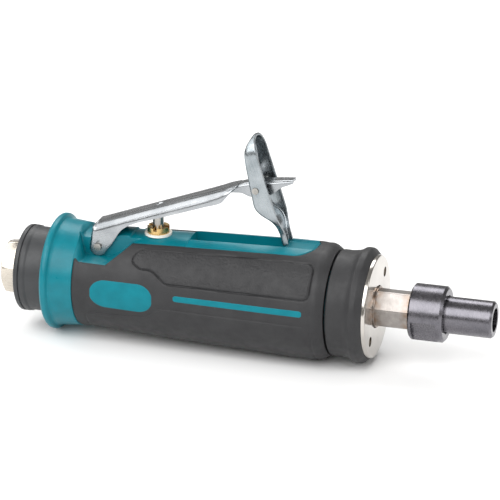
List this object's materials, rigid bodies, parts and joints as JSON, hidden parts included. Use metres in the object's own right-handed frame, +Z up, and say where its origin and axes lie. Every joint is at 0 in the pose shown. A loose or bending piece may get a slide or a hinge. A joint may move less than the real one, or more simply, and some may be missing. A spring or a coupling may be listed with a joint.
{
  "type": "die grinder",
  "caption": "Straight air die grinder with a throttle lever and safety latch, rubber grip, vane motor on ball bearings and a collet chuck with a clamping nut.",
  "frame": {"origin": "centre of the air inlet's mouth, on the tool's axis, at the rear face of the inlet hexagon", "axes": "+X along the tool axis from the air inlet to the collet, +Z up towards the throttle lever, +Y across"},
  "size_m": [0.2037, 0.0476, 0.0914],
  "materials": {
    "teal_composite": "glossy glass-filled composite",
    "grip_rubber": "satin moulded rubber",
    "cap_polymer": "matt moulded polymer",
    "nickel_steel": "satin nickel plate",
    "copper": "bare copper",
    "chrome_ring": "polished",
    "spindle_steel": "ground steel",
    "black_oxide": "black oxide, lightly oiled",
    "lever_steel": "bright zinc plate",
    "pin_steel": "bright",
    "valve_brass": "machined",
    "nylon": "natural nylon",
    "seal_rubber": "nitrile rubber",
    "felt": "pressed felt",
    "bearing_steel": "ground and polished",
    "motor_iron": "ground",
    "plate_alloy": "machined",
    "blade_laminate": "phenolic laminate"
  },
  "bodies": {
    "housing_group": {"housing": "teal_composite", "grip_sleeve": "grip_rubber", "front_collar": "grip_rubber", "exhaust_cap": "cap_polymer", "muffler_felt": "felt", "inlet_bushing": "nickel_steel", "inlet_o_ring": "seal_rubber", "inlet_washer": "copper", "inlet_screen": "nickel_steel", "lock_ring": "chrome_ring", "spindle_felt": "felt", "rear_plate": "plate_alloy", "front_plate": "plate_alloy", "motor_cylinder": "motor_iron", "cylinder_dowel": "pin_steel", "clamp_spacer": "plate_alloy", "rear_bearing_outer": "bearing_steel", "front_bearing_outer": "bearing_steel", "valve_washer": "nylon", "valve_bushing": "valve_brass", "valve_seat": "seal_rubber", "valve_spring": "pin_steel", "lever_pin": "pin_steel"},
    "spindle_group": {"spindle": "spindle_steel", "rotor": "spindle_steel", "rotor_blades": "blade_laminate", "rear_bearing_inner": "bearing_steel", "front_bearing_inner": "bearing_steel"},
    "rear_ball_set": {"rear_bearing_balls": "bearing_steel", "rear_bearing_cage": "valve_brass"},
    "front_ball_set": {"front_bearing_balls": "bearing_steel", "front_bearing_cage": "valve_brass"},
    "collet_group": {"collet": "black_oxide", "collet_snap_ring": "pin_steel"},
    "nut_group": {"collet_nut": "black_oxide"},
    "lever_group": {"throttle_lever": "lever_steel", "latch_pin": "pin_steel", "latch_spring": "pin_steel"},
    "latch_group": {"safety_latch": "lever_steel"},
    "valve_group": {"valve_stem": "pin_steel", "valve_poppet": "seal_rubber"}
  },
  "joints": [
    {"name": "spindle_spin", "type": "hinge", "parent": "housing_group", "child": "spindle_group", "pos_m": [0.13, 0, 0], "axis": [1, 0, 0], "continuous": true},
    {"name": "rear_ball_spin", "type": "hinge", "parent": "housing_group", "child": "rear_ball_set", "pos_m": [0.08, 0, 0], "axis": [1, 0, 0], "continuous": true},
    {"name": "front_ball_spin", "type": "hinge", "parent": "housing_group", "child": "front_ball_set", "pos_m": [0.13, 0, 0], "axis": [1, 0, 0], "continuous": true},
    {"name": "collet_slide", "type": "slide", "parent": "spindle_group", "child": "collet_group", "axis": [1, 0, 0], "range_m": [0, 0.0015]},
    {"name": "nut_turn", "type": "hinge", "parent": "collet_group", "child": "nut_group", "pos_m": [0.18, 0, 0], "axis": [1, 0, 0], "range_deg": [0, 360.1]},
    {"name": "lever_press", "type": "hinge", "parent": "housing_group", "child": "lever_group", "pos_m": [0.0414, 0, 0.0152], "axis": [0, 1, 0], "range_deg": [0, 5.8], "stiffness_Nm_per_rad": 0.4, "springref_deg": -6.88},
    {"name": "latch_tilt", "type": "hinge", "parent": "lever_group", "child": "latch_group", "pos_m": [0.1076, 0, 0.04608], "axis": [0, 1, 0], "range_deg": [0, 67.29]},
    {"name": "valve_stroke", "type": "slide", "parent": "housing_group", "child": "valve_group", "axis": [0, 0, -1], "range_m": [0, 0.00288], "deforming": ["valve_spring"]}
  ],
  "couplings": [
    {"joint": "rear_ball_spin", "follows": "spindle_spin", "ratio": 0.39333},
    {"joint": "front_ball_spin", "follows": "spindle_spin", "ratio": 0.4025},
    {"joint": "nut_turn", "follows": "collet_slide", "rad_per_m": 4188.8},
    {"joint": "latch_tilt", "follows": "lever_press", "ratio": 11.6},
    {"joint": "valve_stroke", "follows": "lever_press", "m_per_rad": 0.028426}
  ]
}
